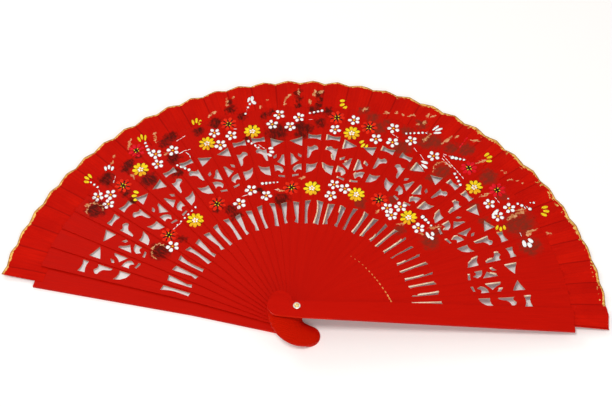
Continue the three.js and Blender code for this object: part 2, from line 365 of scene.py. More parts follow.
# Dry copper marks: x, y, length in pixels, heading in degrees.
COPPER_MARKS = [
    (114, 157, 5, 60), (112, 163, 5, 60), (129.5, 144, 11, 75), (155.5, 137, 11, 95),
    (166, 154, 5, 60), (133, 176, 6, -45), (87, 205.5, 5, 30), (227, 102, 8, 90),
    (214.5, 112, 7, 30), (209.5, 116, 5, 60), (233, 97.5, 3, 20), (267, 100, 3, 0),
    (288, 97, 9, 45), (284.5, 103, 6, 80), (260.5, 107, 4, 60), (298.5, 92, 6, 90),
    (314.5, 93, 8, 80), (320.5, 92, 6, 10), (310, 102, 7, 95), (365, 109.5, 7, 30),
    (387, 113, 8, 10), (396, 113, 3, 60), (403, 115, 4, -60), (411.5, 115.5, 9, 5),
    (428, 115.5, 6, 55), (433, 116, 5, 20), (424.5, 123, 5, 60), (418, 124, 4, 30),
    (427, 138, 10, 45), (447, 140, 13, 35), (457, 137, 5, 20), (474.5, 140.5, 10, 0),
    (481.5, 161.5, 12, 20), (502, 171, 3, 0), (505.5, 172.5, 3, -10), (510, 179.5, 6, 10),
    (518, 180.5, 3, 0), (522.5, 183.5, 3, -40), (449, 164.5, 8, -35), (486, 194.5, 12, 20),
    (511, 217, 9, 40), (514, 215, 11, 28), (519.5, 212.8, 11, 10), (515, 217, 9, 25),
    (531.5, 231, 11, 20), (521, 209.5, 12, 8), (529, 234, 8, 40), (549, 233, 7, -20),
    (434, 227.5, 13, 12), (499.5, 233, 5, 0), (377.5, 212, 5, 60), (400, 224, 8, 5),
    (421.5, 234, 5, 0), (302.5, 177.5, 6, 20), (280, 190.5, 7, 0),
]
# Rings of the same copper round three dark patches: x, y, radius in pixels, first and last angle.
COPPER_RINGS = [(441.7, 170.6, 8.4, 60, 200), (95, 211, 8, 20, 220), (160, 252, 8, 60, 250)]
MARK_HALF_LENGTH = 0.72  # times its length, because a mark fades towards its ends
MARK_HALF_WIDTH = 1.6
RING_STEP = 25  # degrees from one touch of a ring to the next
RING_TOUCH = (2.6, 0.95)  # the half-length and half-width of each


def in_photo_way(x, y, heading):
    """A place on the rim's plane, and one pixel's way from it for a heading in the photograph."""
    turn = math.radians(heading)
    start = in_photo(x, y)
    return start, in_photo(x + math.cos(turn), y - math.sin(turn)) - start


def copper_touches():
    """Every copper mark: its middle, half-length, half-width and turn, in mm and radians."""
    for x, y, length, heading in COPPER_MARKS:
        place, way = in_photo_way(x, y, heading)
        half_length = length * way.length * MARK_HALF_LENGTH
        yield place, half_length, MARK_HALF_WIDTH, math.atan2(way.y, way.x)
    for x, y, radius, first, last in COPPER_RINGS:
        for degrees in range(first, last, RING_STEP):
            angle = math.radians(degrees)
            right, up = radius * math.cos(angle), radius * math.sin(angle)
            place, way = in_photo_way(x + right, y - up, degrees + 90)
            yield place, *RING_TOUCH, math.atan2(way.y, way.x)


def copper_mask(graph, sector):
    """How much dry copper paint lies on a point: each mark is an ellipse with ragged edges."""
    flat = bent(graph, 0.42, 6)
    ellipses = []
    for place, long, wide, turn in copper_touches():
        if in_sector(place, sector):
            values = [flat, (*place, 0), (0, 0, turn), (long, wide, 1)]
            mapped = graph.node("Mapping", values, vector_type="TEXTURE").outputs[0]
            ellipses.append(graph.vector("LENGTH", mapped))
    shape = graph.fade(graph.fold("MINIMUM", ellipses), 0.35, 1.15, 1, 0)
    dry = graph.math("SUBTRACT", graph.noise(graph.place(), 620, 3, 0.7), 0.5)
    cover = graph.math("ADD", graph.product(shape, 0.4), dry)
    return graph.product(graph.fade(cover, 0.2, 0.38), graph.math("GREATER_THAN", shape, 0.01))


def brushed(graph, red, places, sector):
    """The dark patches and the copper marks, over a colour."""
    dark = graph.product(smudge_mask(graph, places, sector), SMUDGE_DEPTH)
    red = graph.mix(dark, red, SMUDGE_COLOUR if sector < DRY_FROM else DRIER_COLOUR)
    tone = graph.fade(graph.noise(graph.place(), 250, 2), 0.35, 0.65)
    copper = graph.mix(tone, (0.58, 0.21, 0.07), (0.82, 0.45, 0.21))
    return graph.mix(graph.product(copper_mask(graph, sector), 0.9), red, copper)


SPECULAR = 0.045
HEAD_REACH = 30  # the sticks' heads lie nearer to the rivet than this
HEAD_HIGHLIGHT_FADE = (-0.011, -0.004)  # y in metres over which the painted highlight on the ribs' heads ends
WALL_UNDER = 0.5  # a face that points up or down less than this is a side
CUT_MARGIN, BAND_MARGIN = 0.06, 0.8  # degrees and mm that the bare wood's mask has round the cuts


def bare_wood(graph, places, wall):
    """1 on the sides of the openings, where no lacquer reaches, and the wood's colour."""
    reach, turned = places
    beside = graph.math("PINGPONG", turned, PITCH)
    beside = graph.math("MINIMUM", beside, graph.math("SUBTRACT", PITCH, beside))
    inside = graph.math("LESS_THAN", beside, CUT_HALF_ANGLE + CUT_MARGIN)
    bands = [graph.between(reach, low - BAND_MARGIN, high + BAND_MARGIN) for low, high in BANDS]
    grain = graph.noise(graph.vector("MULTIPLY", graph.place(), (1, 1, 9)), 420, 4, 0.6)
    wood = graph.mix(graph.fade(grain, 0.3, 0.7), (0.66, 0.44, 0.25), (0.86, 0.68, 0.46))
    return graph.product(wall, inside, graph.fold("ADD", bands)), wood


def lacquer_material(name, sector=None):
    """The guards' plain lacquer, or that of the fretwork ribs in one sector of the fan."""
    graph = Graph(name)
    places = reach, turned = fan_places(graph)
    streak = graph.noise(outward(graph, places, 3.2, 0.035), 1.0, 5, 0.6)
    cloud = graph.noise(graph.place(), 22, 3, 0.5)
    stick_shade = graph.noise(graph.math("ROUND", graph.math("DIVIDE", turned, PITCH)), 3.1, 0)
    red = graph.mix(graph.fade(streak, 0.3, 0.7), (0.47, 0.0033, 0.0001), (0.54, 0.0043, 0.0002))
    red = graph.mix(graph.fade(cloud, 0.35, 0.7, 0, 0.35), red, (0.475, 0.0031, 0.0002))
    red = graph.mix(graph.fade(stick_shade, 0.3, 0.7, 0, 0.3), red, (0.55, 0.0055, 0.0006))
    roughness = graph.fade(streak, 0.25, 0.75, 0.40, 0.55)
    # Painted highlight: the lacquer is painted brighter on the stacked heads, and most on their
    # narrow sides.
    upright = graph.part(graph.node("TexCoord").outputs["Normal"], 2)
    wall = graph.math("LESS_THAN", graph.math("ABSOLUTE", upright), WALL_UNDER)
    by_rivet = graph.math("LESS_THAN", reach, HEAD_REACH)
    red = graph.mix(graph.product(wall, by_rivet), red, (0.64, 0.011, 0.0006))
    if sector is not None:
        # The ribs' heads get a painted highlight on their tops too, fading out across them.
        head_highlight = graph.fade(graph.part(graph.place(), 1), *HEAD_HIGHLIGHT_FADE, 1, 0)
        red = graph.mix(graph.product(head_highlight, by_rivet), red, (0.61, 0.0095, 0.0006))
        red = brushed(graph, red, places, sector)
        bare, wood = bare_wood(graph, places, wall)
        red = graph.mix(bare, red, wood)
        roughness = graph.mix(bare, roughness, (0.8, 0.8, 0.8))
    normal = graph.bump(streak, 0.35, 0.0002)
    normal = graph.bump(graph.noise(graph.place(), 900, 2), 0.12, 0.0001, normal)
    return graph.finish(Base_Color=red, Roughness=roughness, Specular=SPECULAR, Normal=normal)


GILT_UP_TO = 163.5  # degrees from the rear guard; it has worn off beyond that
BROWN_LINE = (0.13, 0.57)  # mm from the edge, where the gilt has a thin brown line
THREAD = 0.5  # mm over which the weave repeats


def gilt_edge(graph, turned):
    """The edge's gilt, thin and even at the left and wider and flaking at the right: its mask and
    its colour."""
    where = graph.place()
    edge = graph.node("Attribute", attribute_name="from_edge").outputs["Fac"]
    ragged = graph.noise(where, 330, 3, 0.7)
    wide = graph.noise(where, 45, 1, 0.5)
    worn = graph.fade(turned, 60, 125)
    widths = (
        graph.fade(wide, 0.35, 0.7, 0.95, 1.4),
        graph.fade(turned, 18, 50, 0.7, 0),
        graph.product(worn, graph.fade(wide, 0.36, 0.62, 0.5, 1.5)),
    )
    width = graph.product(graph.fold("ADD", widths), graph.fade(ragged, 0.3, 0.7, 0.7, 1.3))
    flakes = graph.product(
        graph.math("GREATER_THAN", graph.noise(where, 300, 2, 0.6), 0.635),
        graph.math("LESS_THAN", edge, graph.math("MULTIPLY_ADD", worn, 3.2, 1.6)),
    )
    gilt = graph.math("MAXIMUM", graph.math("LESS_THAN", edge, width), flakes)
    gilt = graph.product(gilt, graph.math("LESS_THAN", turned, GILT_UP_TO))
    gold = graph.mix(graph.fade(ragged, 0.35, 0.65), (0.50, 0.20, 0.03), (0.84, 0.50, 0.13))
    brown = graph.product(graph.between(edge, *BROWN_LINE), 0.8)
    return gilt, graph.mix(brown, gold, (0.14, 0.035, 0.008))


def dyed_and_fold_shaded(graph, places):
    """The cloth's red, with its uneven dye and painted shade: darker on one side of each fold and
    darkest in the crease.
    """
    cloud = graph.noise(graph.place(), 30, 4, 0.55)
    red = graph.mix(graph.fade(cloud, 0.3, 0.7), (0.54, 0.0042, 0.0003), (0.63, 0.0064, 0.0006))
    rays = graph.noise(outward(graph, places, 2.4, 0.03), 1, 4)
    red = graph.mix(graph.fade(rays, 0.35, 0.75, 0, 0.5), red, (0.45, 0.0031, 0.0003))
    # Painted shade on the folds: the side that rises from the crease is darker, the crease darkest.
    across = graph.math("MODULO", places[1], PITCH)
    shaded_side = graph.between(across, CREASE_AT, PITCH + RIDGE_AT)
    red = graph.mix(graph.product(shaded_side, 0.18), red, (0.36, 0.0015, 0.0003))
    from_crease = graph.math("ABSOLUTE", graph.math("SUBTRACT", across, CREASE_AT))
    return graph.mix(graph.fade(from_crease, 0.03, 0.25, 0.45, 0), red, (0.20, 0.001, 0.0002))


def cloth_material(sector):
    graph = Graph(f"fan_cloth_{sector}")
    places = reach, turned = fan_places(graph)
    red = brushed(graph, dyed_and_fold_shaded(graph, places), places, sector)
    gilt, gold = gilt_edge(graph, turned)
    per_mm = 2 * math.pi / THREAD
    warp = graph.math("SINE", graph.product(turned, reach, math.pi / 180, per_mm))
    weft = graph.math("SINE", graph.product(reach, per_mm))
    normal = graph.bump(graph.product(warp, weft), 0.25, 0.00008)
    normal = graph.bump(graph.noise(graph.place(), 140, 3, 0.5), 0.35, 0.0006, normal)
    return graph.finish(
        Base_Color=graph.mix(gilt, red, gold),
        Roughness=graph.mix(gilt, (0.72, 0.72, 0.72), (0.42, 0.42, 0.42)),
        Metallic=graph.product(gilt, 0.35),
        Specular=SPECULAR,
        Normal=normal,
    )


def metal_material(name, dull, bright, roughness):
    graph = Graph(name)
    where = graph.place()
    patina = graph.noise(where, 700, 4, 0.65)
    scratches = graph.noise(graph.vector("MULTIPLY", where, (1, 9, 1)), 1500, 2, 0.5)
    colour = graph.mix(graph.fade(patina, 0.3, 0.7), dull, bright)
    rough = graph.fade(scratches, 0.3, 0.7, roughness - 0.06, roughness + 0.1)
    normal = graph.bump(scratches, 0.15, 0.00005)
    return graph.finish(Base_Color=colour, Metallic=1.0, Roughness=rough, Normal=normal)


def paint_material(name, low, high, rough=0.45):
    """Thick poster paint: brush streaks and a little unevenness in colour and gloss."""
    graph = Graph(name)
    where = graph.place()
    streak = graph.noise(where, 700, 4, 0.6)
    cloud = graph.noise(where, 160, 2, 0.5)
    both = graph.math("ADD", graph.product(streak, 0.5), graph.product(cloud, 0.5))
    colour = graph.mix(graph.fade(both, 0.38, 0.62), low, high)
    normal = graph.bump(streak, 0.3, 0.00012)
    roughness = graph.fade(cloud, 0.3, 0.7, rough - 0.08, rough + 0.1)
    return graph.finish(Base_Color=colour, Roughness=roughness, Specular=0.06, Normal=normal)


PAINTS = {
    name: paint_material("paint_" + name, low, high, *rough)
    for name, low, high, *rough in [
        ("shadow", (0.085, 0.006, 0.003), (0.20, 0.006, 0.002)),
        ("white", (0.93, 0.92, 0.89), (0.98, 0.975, 0.96)),
        ("yellow", (0.92, 0.56, 0.006), (0.97, 0.78, 0.02)),
        ("gold", (0.84, 0.36, 0.008), (0.93, 0.55, 0.02)),
        ("red", (0.72, 0.012, 0.003), (0.86, 0.03, 0.006)),
        ("crimson", (0.68, 0.004, 0.009), (0.82, 0.012, 0.024)),
        ("black", (0.012, 0.004, 0.003), (0.03, 0.010, 0.006)),
        ("copper", (0.62, 0.18, 0.035), (0.84, 0.36, 0.11), 0.5),
    ]
}
PAINTS["wood"] = paint_material("bare_wood", (0.86, 0.56, 0.34), (0.97, 0.80, 0.60), 0.75)
PAINT_ORDER = list(PAINTS)

sectors = range((STICKS - 1) // SECTOR + 1)
guard_lacquer = lacquer_material("guard_lacquer")
rib_lacquers = [lacquer_material(f"rib_lacquer_{sector}", sector) for sector in sectors]
cloths = [cloth_material(sector) for sector in sectors]


def dress(node, material):
    """Gives a CAD node's own object a finished material."""
    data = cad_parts[node].data
    data.materials.clear()
    data.materials.append(material)


for k in range(STICKS):
    dress(stick_node(k), guard_lacquer if is_guard(k) else rib_lacquers[k // SECTOR])
dress("rivet_pin", metal_material("rivet_brass", (0.55, 0.36, 0.12), (0.80, 0.58, 0.24), 0.32))
dress("front_washer", metal_material("washer_nickel", (0.62, 0.58, 0.48), (0.85, 0.82, 0.74), 0.3))


# ---------------- the pleated leaf
LEAF_THICKNESS = 0.2
LEAF_CLEARANCE = 0.05  # between the cloth and the stick that holds it
LEAF_INNER = 200
LEAF_GUARD_INNER = 214
FREE_FROM = 220.3  # along the sticks: the cloth is held flat up to here
JOINED_OVER = 0.4  # beyond that much more, neighbouring pleats share their seam's height
FOLD_HEIGHT = 1.5
FOLDS_FROM, FOLDS_TO = FREE_FROM + 2, LEAF_RADIUS + 12  # the folds get deeper outwards
RIPPLE = 0.5
VALLEY_DIP = 0.6
EDGE_UNEVENNESS = 0.35
SIDE_OVERLAP = 1.3  # degrees that the leaf goes on beyond each guard's middle line
COLUMNS = [-1.8, RIDGE_AT, -0.9, -0.3, 0.3, CREASE_AT, 1.4, 1.9, 2.4]
FREE_ROWS = 11  # of points, on the part of the leaf beyond the tips
SHARP = math.radians(50)
FLAT_WIDER, FLAT_LONGER = 1.05, 1.02  # the cloth's flat size, against the folded leaf's


def held_height(k, x, y):
    """The middle of the cloth where stick k holds it: under a rib, or on top of the rear guard."""
    away = LEAF_CLEARANCE + LEAF_THICKNESS / 2
    if k == 0:
        return GUARD_THICKNESS + away
    foot, normal = on_stick(k, 0, 0), stick_normal(k)
    below = foot.z - (normal.x * (x - foot.x) + normal.y * (y - foot.y)) / normal.z
    return below - away


def smooth(value, low, high):
    t = min(1, max(0, (value - low) / (high - low)))
    return t * t * (3 - 2 * t)


def fold_share(off):
    """0 on a ridge and 1 in a crease, for degrees to the right of a stick's middle line."""
    past, down = (off - RIDGE_AT) % PITCH, CREASE_AT - RIDGE_AT
    return past / down if past < down else (PITCH - past) / (PITCH - down)


def free_from(degrees):
    """How far from the rivet the cloth leaves the sticks, seen from above."""
    return on_stick((REAR_AZIMUTH - degrees) / PITCH, FREE_FROM, 0).xy.length


def leaf_height(k, degrees, reach):
    """Height of pleat k's middle surface, which beyond the tips meets the next pleat's."""
    x, y = reach * math.cos(math.radians(degrees)), reach * math.sin(math.radians(degrees))
    own = held_height(k, x, y)
    off = azimuth(k) - degrees  # positive towards the front guard
    if off > 0:
        other, share = k + 1, off / SEAM_AT
    else:
        other, share = k - 1, -off / (PITCH - SEAM_AT)
    if 0 <= other < STICKS:
        free = free_from(degrees)
        joined = smooth(reach, free, free + JOINED_OVER)
        own += (held_height(other, x, y) - own) / 2 * joined * share
    depth = smooth(reach, FOLDS_FROM, FOLDS_TO) / smooth(LEAF_RADIUS, FOLDS_FROM, FOLDS_TO)
    ripple = noise.noise(Vector((degrees * 0.55, reach * 0.09, 3.7))) * RIPPLE
    return own + depth * (FOLD_HEIGHT * (1 - 2 * fold_share(off)) + ripple)


def edge_reach(k, degrees):
    """How far out the cloth goes: it draws in at the creases, in a scallop."""
    share = fold_share(azimuth(k) - degrees)
    uneven = noise.noise(Vector((degrees * 0.9, 8.1, 0.3))) * EDGE_UNEVENNESS
    return LEAF_RADIUS - EDGE_UNEVENNESS - VALLEY_DIP * share ** 1.6 + uneven


def leaf_columns(k):
    """Pleat k's columns of points, in degrees to the right of its stick's middle line."""
    left = -SIDE_OVERLAP if k == 0 else SEAM_AT - PITCH
    right = SIDE_OVERLAP if k == STICKS - 1 else SEAM_AT
    return [left] + [off for off in COLUMNS if left < off < right] + [right]


def pleat_side(bm, k, inner, lift):
    """The points of pleat k's upper or lower side, column by column from the inner end out."""
    edge_layer = bm.verts.layers.float["from_edge"]
    side = []
    for off in leaf_columns(k):
        degrees = azimuth(k) - off
        outer, free = edge_reach(k, degrees), free_from(degrees)
        joined = free + JOINED_OVER
        reaches = [inner, (inner + free) / 2, free]
        reaches += [joined + (outer - joined) * i / (FREE_ROWS - 1) for i in range(FREE_ROWS)]
        column = []
        for reach in reaches:
            angle = math.radians(degrees)
            place = Vector((reach * math.cos(angle), reach * math.sin(angle), 0))
            place.z = leaf_height(k, degrees, reach) + lift
            vert = bm.verts.new(place * MM)
            vert[edge_layer] = outer - reach
            column.append(vert)
        side.append(column)
    return side


def make_pleat(k):
    inner = LEAF_GUARD_INNER if is_guard(k) else LEAF_INNER
    bm = bmesh.new()
    bm.verts.layers.float.new("from_edge")
    sides = [pleat_side(bm, k, inner, lift) for lift in (LEAF_THICKNESS / 2, -LEAF_THICKNESS / 2)]
    top, bottom = sides
    area = 0
    for i in range(len(top) - 1):
        for j in range(len(top[0]) - 1):
            quad = [(i, j), (i + 1, j), (i + 1, j + 1), (i, j + 1)]
            area += bm.faces.new([top[a][b] for a, b in quad[::-1]]).calc_area()
            bm.faces.new([bottom[a][b] for a, b in quad])
        for j in (0, -1):
            ends = (top[i][j], top[i + 1][j], bottom[i + 1][j], bottom[i][j])
            bm.faces.new(ends if j == 0 else ends[::-1])
    for i in (0, -1):
        for j in range(len(top[0]) - 1):
            ends = (top[i][j], top[i][j + 1], bottom[i][j + 1], bottom[i][j])
            bm.faces.new(ends[::-1] if i == 0 else ends)
    bmesh.ops.recalc_face_normals(bm, faces=bm.faces)
    folds = [i for i, off in enumerate(leaf_columns(k)) if off in (RIDGE_AT, CREASE_AT)]
    creases = {vert for side in sides for i in folds for vert in side[i]}
    for edge in bm.edges:
        sharp = edge.calc_face_angle(0) > SHARP
        edge.smooth = not (sharp or (edge.verts[0] in creases and edge.verts[1] in creases))
    pleat = add_mesh(bm, f"pleat_{k:02d}", [cloths[k // SECTOR]])
    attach(pleat, body_name(k))
    width = math.radians(PITCH) * LEAF_RADIUS * FLAT_WIDER * MM
    length = (LEAF_RADIUS - inner) * FLAT_LONGER * MM
    width = max(width, area / length)
    return pleat


def add_mesh(bm, name, materials):
    """Puts a finished bmesh, smooth all over, in the scene."""
    for face in bm.faces:
        face.smooth = True
    mesh = bpy.data.meshes.new(name)
    bm.to_mesh(mesh)
    bm.free()
    for material in materials:
        mesh.materials.append(material)
    return add_object(name, mesh)


pleats = [make_pleat(k) for k in range(STICKS)]
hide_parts("leaf")


# ---------------- painted flowers
TOP_FACES = 0.6  # a face whose normal is this much along the stick's can be painted
PRESSED_FROM = LEAF_INNER - 2  # from here on the next pleat closes over the blade
PRESSED = (0.01, 0.13)  # pressed paint's least height, and its share of its own
DOME_SIDES = 12
DOME_EGG = 0.16  # how much wider a dab is ahead than behind
DOME_RING = 0.6  # how far out a dab's inner ring of points is
WELD, SLIVER = 0.004, 0.003
PAINT_SINKS = 0.1  # how far a dab's rim goes down into what carries it
WORN_RIBS = slice(17, -1)  # the sticks at the right with bare wood along their cuts
WORN_FROM = -0.15  # the noise above which a cut's edge is worn
WORN_WIDTH, WORN_VARIES, WORN_LIFT = 1.1, 0.4, 0.015


def flat_place(point):
    """Where a point in space appears on the rim's plane, seen from the camera."""
    place, eye = to_photo(point), to_photo(EYE)
    share = eye.z / (eye.z - place.z)
    return (eye + (place - eye) * share).to_2d()


def box_round(places):
    xs, ys = zip(*places)
    return Vector((min(xs), min(ys))), Vector((max(xs), max(ys)))


def clip(polygon, start, end):
    """The part of a convex polygon that lies to the left of the line from start to end."""
    way = end - start
    away = [way.x * (p.y - start.y) - way.y * (p.x - start.x) for p in polygon]
    kept = []
    for i, place in enumerate(polygon):
        before = i - 1
        if (away[i] > 0) != (away[before] > 0):
            share = away[before] / (away[before] - away[i])
            kept.append(polygon[before].lerp(place, share))
        if away[i] > 0:
            kept.append(place)
    return kept


class Facet:
    """A triangle on top of a blade or a pleat, and where it appears on the rim's plane."""

    def __init__(self, corners):
        self.normal = (corners[1] - corners[0]).cross(corners[2] - corners[0]).normalized()
        self.point = corners[0]
        self.corners = [flat_place(c) for c in corners]
        self.low, self.high = box_round(self.corners)

    def near(self, low, high):
        beside = self.low.x < high.x and self.high.x > low.x
        return beside and self.low.y < high.y and self.high.y > low.y

    def cut(self, polygon):
        for i, corner in enumerate(self.corners):
            polygon = clip(polygon, self.corners[i - 1], corner)
            if len(polygon) < 3:
                return []
        return polygon

    def lift(self, place, height, pressed):
        """The point above this face that appears at that place of the rim's plane."""
        way = from_photo(Vector((place.x, place.y, 0))) - EYE
        share = (self.point - EYE).dot(self.normal) / way.dot(self.normal)
        point = EYE + way * share
        if pressed and point.length > PRESSED_FROM:
            height = PRESSED[0] + PRESSED[1] * height
        return point + self.normal * height


def upward_facets(data, normal):
    facets = []
    for face in data.polygons:
        if face.normal.dot(normal) < TOP_FACES:
            continue
        corners = [data.vertices[i].co / MM for i in face.vertices]
        for i in range(1, len(corners) - 1):
            facet = Facet([corners[0], corners[i], corners[i + 1]])
            if (facet.high - facet.low).length > 1e-3:
                facets.append(facet)
    return facets


def left_edge(k):
    """Stick k's left edge on top, from the neck to the tip, as it appears on the rim's plane."""
    neck = GUARD_WAIST_HALF_WIDTH if is_guard(k) else NECK_HALF_WIDTH
    ends = ((NECK_END, neck), (stick_length(k), TIP_HALF_WIDTH))
    return [flat_place(on_stick(k, x, y, thickness(k))) for x, y in ends]


def tip_line(k):
    """Stick k's tip from left to right, so that what lies beyond it is on its left."""
    sides = (TIP_HALF_WIDTH, -TIP_HALF_WIDTH)
    return [flat_place(on_stick(k, stick_length(k), side, thickness(k))) for side in sides]


def off_middle(k, point):
    """How many degrees a point is from stick k's middle line, about the rivet."""
    back = swing(-k) @ point
    return abs(math.degrees(math.atan2(back.dot(REAR_LEFT), back.dot(REAR))))


class Canvas:
    """What a brush can reach of one stick: its blade and its pleat, up to the next stick."""

    def __init__(self, k):
        self.k = k
        self.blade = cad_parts[stick_node(k)].data
        self.normal = stick_normal(k)
        self.faces = []  # of paint: its name and its corners
        blade_limits = [left_edge(k + 1)] if k < STICKS - 1 else []
        tips = [tip_line(j) for j in (k, k + 1) if j < STICKS]
        self.parts = [
            (upward_facets(self.blade, self.normal), blade_limits, True),
            (upward_facets(pleats[k].data, Vector((0, 0, 1))), tips, False),
        ]

    def dab(self, polygons, low, high, height, paint):
        for facets, limits, pressed in self.parts:
            near = [f for f in facets if f.near(low, high)]
            if not near:
                continue
            for polygon in polygons:
                for start, end in limits:
                    polygon = clip(polygon, start, end) if len(polygon) > 2 else []
                if len(polygon) < 3:
                    continue
                for facet in near:
                    piece = facet.cut(polygon)
                    if len(piece) > 2:
                        corners = [facet.lift(p, height(p), pressed) for p in piece]
                        self.faces.append((paint, corners))

    def bare_edges(self):
        """Bare wood along the straight cuts that face right, where the lacquer is worn."""
        data, normal = self.blade, self.normal

        def ends(key):
            return frozenset(tuple(round(c, 3) for c in data.vertices[i].co / MM) for i in key)

        flat = [face for face in data.polygons if face.normal.dot(normal) > 0.9]
        tops = {ends(key) for face in flat for key in face.edge_keys}
        along = math.radians(azimuth(self.k))
        rightward = Vector((math.sin(along), -math.cos(along), 0))
        for face in data.polygons:
            if abs(face.normal.dot(normal)) < 0.2 and face.normal.dot(rightward) > 0.8:
                for key in face.edge_keys:
                    if ends(key) in tops:
                        self.bare_edge(*(data.vertices[i].co / MM for i in key), face.normal)

    def bare_edge(self, first, last, outward):
        reach = (first.length + last.length) / 2
        in_band = any(bottom < reach < top for bottom, top in BANDS)
        worn = noise.noise(Vector((self.k * 3.1, reach * 0.06, 0.5))) > WORN_FROM
        if not in_band or not worn or off_middle(self.k, first) > CUT_HALF_ANGLE + 0.05:
            return
        widths = [WORN_WIDTH + WORN_VARIES * noise.noise(p * 0.3) for p in (first, last)]
        corners = [first, last, last - outward * widths[1], first - outward * widths[0]]
        if (corners[1] - corners[0]).cross(corners[2] - corners[0]).dot(self.normal) < 0:
            corners.reverse()
        self.faces.append(("wood", [c + self.normal * WORN_LIFT for c in corners]))

    def finish(self):
        bm = bmesh.new()
        for paint, corners in self.faces:
            face = bm.faces.new([bm.verts.new(c * MM) for c in corners])
            face.material_index = PAINT_ORDER.index(paint)
        # Faces of one colour that touch are joined, so that each dab is one smooth dome.
        for index in range(len(PAINT_ORDER)):
            faces = [f for f in bm.faces if f.material_index == index]
            verts = list(dict.fromkeys(v for f in faces for v in f.verts))
            bmesh.ops.remove_doubles(bm, verts=verts, dist=WELD * MM)
        bmesh.ops.dissolve_degenerate(bm, edges=bm.edges, dist=SLIVER * MM)
        rim = [e for e in bm.edges if e.is_boundary]
        made = bmesh.ops.extrude_edge_only(bm, edges=rim)["geom"]
        sunk = [g for g in made if isinstance(g, bmesh.types.BMVert)]
        bmesh.ops.translate(bm, vec=self.normal * (-PAINT_SINKS * MM), verts=sunk)
        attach(add_mesh(bm, f"flowers_{self.k:02d}", PAINTS.values()), body_name(self.k))


canvases = [Canvas(k) for k in range(STICKS)]
brush = random.Random(11)


def unit(heading):
    return Vector((math.cos(heading), math.sin(heading)))


def dab(centre, long, wide, heading, paint, base=0.03, rise=0.22):
    """One touch of the brush: a low dome, egg-shaped along its heading, of these half-sizes. Its
    rim is base high, and its middle rises so much more."""
    ahead = unit(heading)
    aside = Vector((-ahead.y, ahead.x))

    def ring(share):
        return [
            centre
            + ahead * (long * share * math.cos(angle))
            + aside * (wide * share * (1 + DOME_EGG * math.cos(angle)) * math.sin(angle))
            for angle in (2 * math.pi * i / DOME_SIDES for i in range(DOME_SIDES))
        ]

    def height(place):
        off = place - centre
        away = (off.dot(ahead) / long) ** 2 + (off.dot(aside) / wide) ** 2
        return base + rise * max(0, 1 - away)

    outer, inner = ring(1), ring(DOME_RING)
    polygons = [inner]
    for i in range(DOME_SIDES):
        polygons.append([inner[i - 1], outer[i - 1], outer[i], inner[i]])
    low, high = box_round(outer)
    # The nearest sticks by azimuth, which is also their order in the photograph.
    middle = int(stick_at(centre))
    for canvas in canvases[max(0, middle - 2):middle + 4]:
        canvas.dab(polygons, low, high, height, paint)


def shade(centre, long, wide, heading=0):
    """The dark paint under a touch, which shows round it: partly an outline of paint, partly a
    painted shadow.
    """
    dab(centre, long, wide, heading, "shadow", 0.012, 0)


def wheel(count, start):
    for i in range(count):
        yield start + 2 * math.pi * (i + brush.uniform(-0.12, 0.12)) / count


def at(centre, distance, heading):
    return centre + unit(heading) * distance


def white_flower(x, y):
    centre, size = in_photo(x, y), brush.uniform(0.94, 1.06)
    petals = [(h, brush.uniform(0.92, 1.1)) for h in wheel(5, brush.uniform(2.9, 3.5))]
    for heading, wide in petals:
        shade(at(centre, 3.4 * size, heading), 2.05 * size, 1.75 * size * wide, heading)
    for heading, wide in petals:
        dab(at(centre, 3.5 * size, heading), 1.8 * size, 1.5 * size * wide, heading, "white", 0.05)
    dab(centre, 1.0, 0.8, brush.uniform(0, 3), "gold", 0.06, 0.2)


def daisy(x, y):
    centre = in_photo(x, y)
    shade(centre, 6.6, 6.6)
    for heading in wheel(9, brush.uniform(0, 6.3)):
        # The petals on the near side are deeper in colour.
        paint = "gold" if math.sin(heading) < -0.35 else "yellow"
        wide = 1.5 * brush.uniform(0.92, 1.1)
        dab(at(centre, 4.8, heading), 2.5, wide, heading, paint, 0.04)
    dab(centre, 2.5, 2.5, 0, "gold", 0.05, 0.03)
    for heading in wheel(5, brush.uniform(0, 6.3)):
        dab(at(centre, 1.65, heading), 0.95, 0.75, heading, "white", 0.1, 0.2)


def red_flower(x, y, paint="red"):
    centre, start = in_photo(x, y), brush.uniform(0, 6.3)
    shade(centre, 5, 5)
    for heading in wheel(8, start):
        dab(at(centre, 4.8, heading), 2.6, 1.55, heading, paint, 0.03, 0.16)
    if paint == "red":
        for heading in wheel(8, start + 0.39):
            dab(at(centre, brush.uniform(2.8, 4.6), heading), 1.4, 0.65, heading, "black", 0.1, 0.1)
    dab(centre, 2.5, 2.2, start, "black", 0.06, 0.08)
    for heading in wheel(4, start):
        dab(at(centre, 1.9, heading), 0.7, 0.5, heading, "yellow", 0.12, 0.2)


def petal(x, y, length, width, heading, paint="white"):
    """One petal, with its middle and its sizes in pixels and its heading in the photograph."""
    place, way = in_photo_way(x, y, heading)
    across = in_photo_way(x, y, heading + 90)[1].length
    angle = math.atan2(way.y, way.x)
    long, wide = length * way.length / 2, width * across / 2
    shade(place, long + 0.25, wide + 0.25, angle)
    dab(place, long, wide, angle, paint, 0.05)


def bud(x, y, heading, long, wide, paint="yellow"):
    """Three petals side by side that fan out along the heading; their sizes are in pixels."""
    ahead, side = math.radians(heading), math.radians(heading - 90)
    for turn in (-1, 0, 1):
        off, forward = wide * 1.3 * turn, long * (0.14 - 0.3 * abs(turn))
        right = x + off * math.cos(side) + forward * math.cos(ahead)
        down = y - off * math.sin(side) - forward * math.sin(ahead)
        petal(right, down, long, wide, heading - 17 * turn, paint)


def trail(x1, y1, x2, y2, count, size, last_size):
    """A row of white dots that get smaller or larger."""
    first, last = in_photo(x1, y1), in_photo(x2, y2)
    for i in range(count):
        share = i / (count - 1)
        radius = (size + (last_size - size) * share) * brush.uniform(0.92, 1.08)
        place = first.lerp(last, share)
        shade(place, radius * 1.35, radius * 1.3)
        dab(place, radius * 1.05, radius * 0.95, brush.uniform(0, 3), "white", 0.05)


